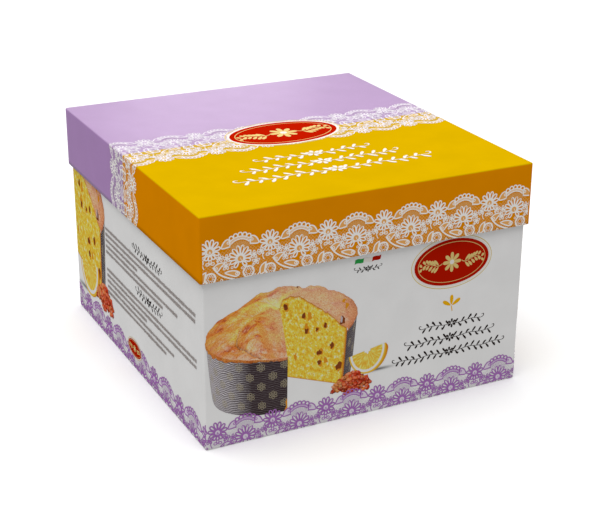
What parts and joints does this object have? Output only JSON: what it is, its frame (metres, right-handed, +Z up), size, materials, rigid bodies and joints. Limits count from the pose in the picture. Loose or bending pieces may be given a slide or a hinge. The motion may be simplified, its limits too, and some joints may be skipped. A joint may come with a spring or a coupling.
{
  "type": "panettone gift box",
  "caption": "Closed two-piece carton gift box: a shallow lift-off lid over a tray, lace print, with a low domed cake in its baking mould and a tied film bag inside.",
  "frame": {"origin": "centre of the tray's underside", "axes": "+Z up; +Y from the wide printed front towards the back, along the longer side of the plan; +X to the right seen from the front"},
  "size_m": [0.24, 0.258, 0.16],
  "materials": {
    "tray_board": "satin",
    "lid_board": "satin",
    "crust": "matte",
    "mould_paper": "matte",
    "bag_film": "gloss",
    "tie_paper": "satin"
  },
  "bodies": {
    "root": {"base_tray": "tray_board", "lid": "lid_board", "panettone_loaf": "crust", "baking_mould": "mould_paper", "film_bag": "bag_film", "bag_tie": "tie_paper"}
  },
  "joints": []
}
